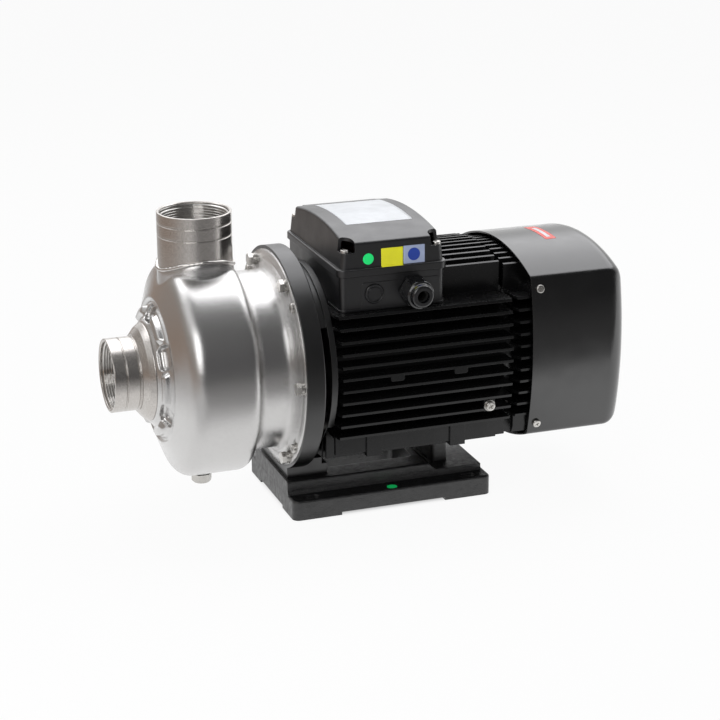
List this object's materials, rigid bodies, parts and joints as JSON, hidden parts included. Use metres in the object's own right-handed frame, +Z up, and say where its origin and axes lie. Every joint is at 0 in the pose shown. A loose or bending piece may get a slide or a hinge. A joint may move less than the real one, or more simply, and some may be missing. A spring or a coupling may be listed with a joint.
{
  "type": "booster pump",
  "caption": "Close-coupled electric booster pump: drawn stainless volute with threaded suction and discharge ports, finned motor, terminal box and cast base plate.",
  "frame": {"origin": "centre of the base plate's four bolt slots, on the underside of its corner soles", "axes": "+X along the shaft from the suction port to the fan, +Z up, -Y towards the cable gland"},
  "size_m": [0.4595, 0.2006, 0.2734],
  "materials": {
    "base_iron": "textured black paint on cast iron",
    "zinc_steel": "bright plated",
    "black_casting": "satin black paint on cast iron",
    "blasted_stainless": "fine blasted stainless steel",
    "turned_stainless": "turned stainless steel",
    "seal_rubber": "matt",
    "ceramic": "ground ceramic",
    "bearing_steel": "ground",
    "black_aluminium": "satin black paint on die-cast aluminium",
    "lamination_steel": "stacked sheet",
    "winding_copper": "varnished copper",
    "black_sheet": "satin black paint on pressed sheet",
    "black_box": "satin black paint on die-cast box",
    "board_plastic": "moulded",
    "brass_studs": "plain",
    "gland_plastic": "glossy black",
    "shaft_steel": "ground stainless steel",
    "fan_plastic": "moulded",
    "cage_steel": "pressed"
  },
  "bodies": {
    "pump_body": {"base_plate": "base_iron", "rear_foot": "base_iron", "bracket_bolts": "zinc_steel", "foot_bolts": "zinc_steel", "motor_bracket": "black_casting", "volute_casing": "blasted_stainless", "suction_nozzle": "turned_stainless", "discharge_nozzle": "turned_stainless", "drain_plug": "zinc_steel", "drain_gasket": "seal_rubber", "casing_cover": "blasted_stainless", "casing_o_ring": "seal_rubber", "seal_seat": "ceramic", "seal_seat_cup": "seal_rubber", "flange_bolts": "zinc_steel", "flange_washers": "zinc_steel", "spring_washers": "zinc_steel", "flange_screws": "zinc_steel", "front_outer_race": "bearing_steel", "rear_outer_race": "bearing_steel", "wave_spring": "bearing_steel", "motor_frame": "black_aluminium", "stator_core": "lamination_steel", "stator_winding": "winding_copper", "rear_endshield": "black_aluminium", "bracket_screws": "zinc_steel", "endshield_screws": "zinc_steel", "fan_cover": "black_sheet", "cover_screws": "zinc_steel", "earth_screw": "zinc_steel", "terminal_box_base": "black_box", "box_screws": "zinc_steel", "box_gasket": "seal_rubber", "terminal_box_lid": "black_box", "lid_screws": "zinc_steel", "terminal_board": "board_plastic", "terminal_studs": "brass_studs", "gland_body": "gland_plastic", "gland_seal": "seal_rubber", "gland_nut": "gland_plastic", "blanking_plug": "gland_plastic"},
    "rotor": {"shaft": "shaft_steel", "impeller": "turned_stainless", "impeller_key": "shaft_steel", "impeller_washer": "zinc_steel", "impeller_nut": "zinc_steel", "seal_head": "ceramic", "seal_spring": "bearing_steel", "deflector": "seal_rubber", "rotor_core": "lamination_steel", "front_inner_race": "bearing_steel", "rear_inner_race": "bearing_steel", "cooling_fan": "fan_plastic", "fan_clip": "bearing_steel"},
    "front_cage_set": {"front_cage": "cage_steel", "front_balls": "bearing_steel"},
    "rear_cage_set": {"rear_cage": "cage_steel", "rear_balls": "bearing_steel"}
  },
  "joints": [
    {"name": "shaft_spin", "type": "hinge", "parent": "pump_body", "child": "rotor", "pos_m": [0.008, 0, 0.1325], "axis": [1, 0, 0], "continuous": true},
    {"name": "front_cage_spin", "type": "hinge", "parent": "pump_body", "child": "front_cage_set", "pos_m": [-0.0625, 0, 0.1325], "axis": [1, 0, 0], "continuous": true},
    {"name": "rear_cage_spin", "type": "hinge", "parent": "pump_body", "child": "rear_cage_set", "pos_m": [0.1175, 0, 0.1325], "axis": [1, 0, 0], "continuous": true}
  ],
  "couplings": [
    {"joint": "front_cage_spin", "follows": "shaft_spin", "ratio": 0.3998},
    {"joint": "rear_cage_spin", "follows": "shaft_spin", "ratio": 0.4057}
  ]
}
